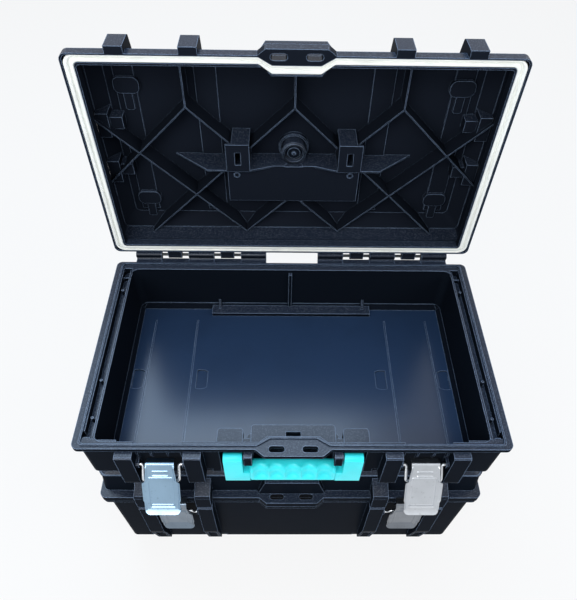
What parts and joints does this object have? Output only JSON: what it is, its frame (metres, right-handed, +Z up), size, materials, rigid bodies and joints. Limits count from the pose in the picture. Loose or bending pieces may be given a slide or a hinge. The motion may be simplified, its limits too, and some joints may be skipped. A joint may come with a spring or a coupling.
{
  "type": "tool case stack",
  "caption": "Stack of two hard tool cases on one footprint: a shallow one with its lid open, on a deep closed one, with wire-bail latches and a swinging handle.",
  "frame": {"origin": "middle of the deep case's base plane; the stacking pegs reach 7 mm lower", "axes": "+Z up, +X to the right seen from the front, -Y towards the front, where the latches are"},
  "size_m": [0.5738, 0.4455, 0.7185],
  "materials": {
    "shell_plastic": "fine-grained near-black moulding",
    "clip_plastic": "smooth near-black moulding",
    "vent_plastic": "smooth near-black moulding",
    "handle_plastic": "satin turquoise moulding",
    "latch_steel": "bright plated stamped steel",
    "wire_steel": "bright plated wire",
    "pin_steel": "drawn steel rod",
    "seal_foam": "matt ivory closed-cell foam"
  },
  "bodies": {
    "lower_case": {"lower_tub": "shell_plastic", "lower_hinge_pin_left": "pin_steel", "lower_hinge_pin_right": "pin_steel", "lower_clip_pin_left": "pin_steel", "lower_clip_pin_right": "pin_steel"},
    "lower_lid": {"lower_lid": "shell_plastic", "lower_lid_seal": "seal_foam", "lower_vent_cap": "vent_plastic", "lower_vent_core": "pin_steel"},
    "lower_latch_left_bail": {"lower_latch_left_bail": "wire_steel"},
    "lower_latch_left_plate": {"lower_latch_left_plate": "latch_steel"},
    "lower_clip_left": {"lower_clip_left": "clip_plastic"},
    "lower_latch_right_bail": {"lower_latch_right_bail": "wire_steel"},
    "lower_latch_right_plate": {"lower_latch_right_plate": "latch_steel"},
    "lower_clip_right": {"lower_clip_right": "clip_plastic"},
    "upper_case": {"upper_tub": "shell_plastic", "upper_hinge_pin_left": "pin_steel", "upper_hinge_pin_right": "pin_steel", "upper_clip_pin_left": "pin_steel", "upper_clip_pin_right": "pin_steel", "upper_handle_pin_left": "pin_steel", "upper_handle_pin_right": "pin_steel"},
    "upper_lid": {"upper_lid": "shell_plastic", "upper_lid_seal": "seal_foam", "upper_vent_cap": "vent_plastic", "upper_vent_core": "pin_steel"},
    "upper_latch_left_bail": {"upper_latch_left_bail": "wire_steel"},
    "upper_latch_left_plate": {"upper_latch_left_plate": "latch_steel"},
    "upper_clip_left": {"upper_clip_left": "clip_plastic"},
    "upper_latch_right_bail": {"upper_latch_right_bail": "wire_steel"},
    "upper_latch_right_plate": {"upper_latch_right_plate": "latch_steel"},
    "upper_clip_right": {"upper_clip_right": "clip_plastic"},
    "upper_handle": {"upper_handle_frame": "handle_plastic", "upper_handle_grip": "handle_plastic"}
  },
  "joints": [
    {"name": "lower_lid_hinge", "type": "hinge", "parent": "lower_case", "child": "lower_lid", "pos_m": [0, 0.17, 0.2035], "axis": [-1, 0, 0], "range_deg": [0, 91]},
    {"name": "upper_case_lift", "type": "slide", "parent": "lower_lid", "child": "upper_case", "axis": [0, 0, 1], "range_m": [0, 0.06]},
    {"name": "upper_lid_hinge", "type": "hinge", "parent": "upper_case", "child": "upper_lid", "pos_m": [0, 0.17, 0.3735], "axis": [1, 0, 0], "range_deg": [0, 91]},
    {"name": "lower_latch_left_bail_hinge", "type": "hinge", "parent": "lower_case", "child": "lower_latch_left_bail", "pos_m": [-0.1685, -0.1608, 0.1617], "axis": [1, 0, 0], "range_deg": [-10.5, 122.5]},
    {"name": "lower_latch_left_plate_hinge", "type": "hinge", "parent": "lower_latch_left_bail", "child": "lower_latch_left_plate", "pos_m": [-0.1685, -0.16722, 0.18319], "axis": [1, 0, 0], "range_deg": [-148.34, 12.76]},
    {"name": "lower_latch_right_bail_hinge", "type": "hinge", "parent": "lower_case", "child": "lower_latch_right_bail", "pos_m": [0.1685, -0.1608, 0.1617], "axis": [1, 0, 0], "range_deg": [-10.5, 122.5]},
    {"name": "lower_latch_right_plate_hinge", "type": "hinge", "parent": "lower_latch_right_bail", "child": "lower_latch_right_plate", "pos_m": [0.1685, -0.16722, 0.18319], "axis": [1, 0, 0], "range_deg": [-148.34, 12.76]},
    {"name": "upper_latch_left_bail_hinge", "type": "hinge", "parent": "upper_case", "child": "upper_latch_left_bail", "pos_m": [-0.1685, -0.1608, 0.3317], "axis": [1, 0, 0], "range_deg": [-133, 0]},
    {"name": "upper_latch_left_plate_hinge", "type": "hinge", "parent": "upper_latch_left_bail", "child": "upper_latch_left_plate", "pos_m": [-0.1685, -0.17547, 0.31474], "axis": [1, 0, 0], "range_deg": [0, 161.05]},
    {"name": "upper_latch_right_bail_hinge", "type": "hinge", "parent": "upper_case", "child": "upper_latch_right_bail", "pos_m": [0.1685, -0.1608, 0.3317], "axis": [1, 0, 0], "range_deg": [-133, 0]},
    {"name": "upper_latch_right_plate_hinge", "type": "hinge", "parent": "upper_latch_right_bail", "child": "upper_latch_right_plate", "pos_m": [0.1685, -0.17547, 0.31474], "axis": [1, 0, 0], "range_deg": [0, 161.05]},
    {"name": "upper_handle_hinge", "type": "hinge", "parent": "upper_case", "child": "upper_handle", "pos_m": [0, -0.161, 0.351], "axis": [-1, 0, 0], "range_deg": [0, 90]},
    {"name": "lower_clip_left_hinge", "type": "hinge", "parent": "lower_case", "child": "lower_clip_left", "pos_m": [-0.264, 0, 0.03], "axis": [0, 1, 0], "range_deg": [-130, 0]},
    {"name": "lower_clip_right_hinge", "type": "hinge", "parent": "lower_case", "child": "lower_clip_right", "pos_m": [0.264, 0, 0.03], "axis": [0, -1, 0], "range_deg": [-130, 0]},
    {"name": "upper_clip_left_hinge", "type": "hinge", "parent": "upper_case", "child": "upper_clip_left", "pos_m": [-0.264, 0, 0.298], "axis": [0, 1, 0], "range_deg": [-158, 22]},
    {"name": "upper_clip_right_hinge", "type": "hinge", "parent": "upper_case", "child": "upper_clip_right", "pos_m": [0.264, 0, 0.298], "axis": [0, -1, 0], "range_deg": [-158, 22]}
  ],
  "couplings": [
    {"joint": "lower_latch_left_plate_hinge", "follows": "lower_latch_left_bail_hinge", "ratio": -1.2105},
    {"joint": "lower_latch_right_plate_hinge", "follows": "lower_latch_right_bail_hinge", "ratio": -1.2105},
    {"joint": "upper_latch_left_plate_hinge", "follows": "upper_latch_left_bail_hinge", "ratio": -1.2105},
    {"joint": "upper_latch_right_plate_hinge", "follows": "upper_latch_right_bail_hinge", "ratio": -1.2105}
  ]
}
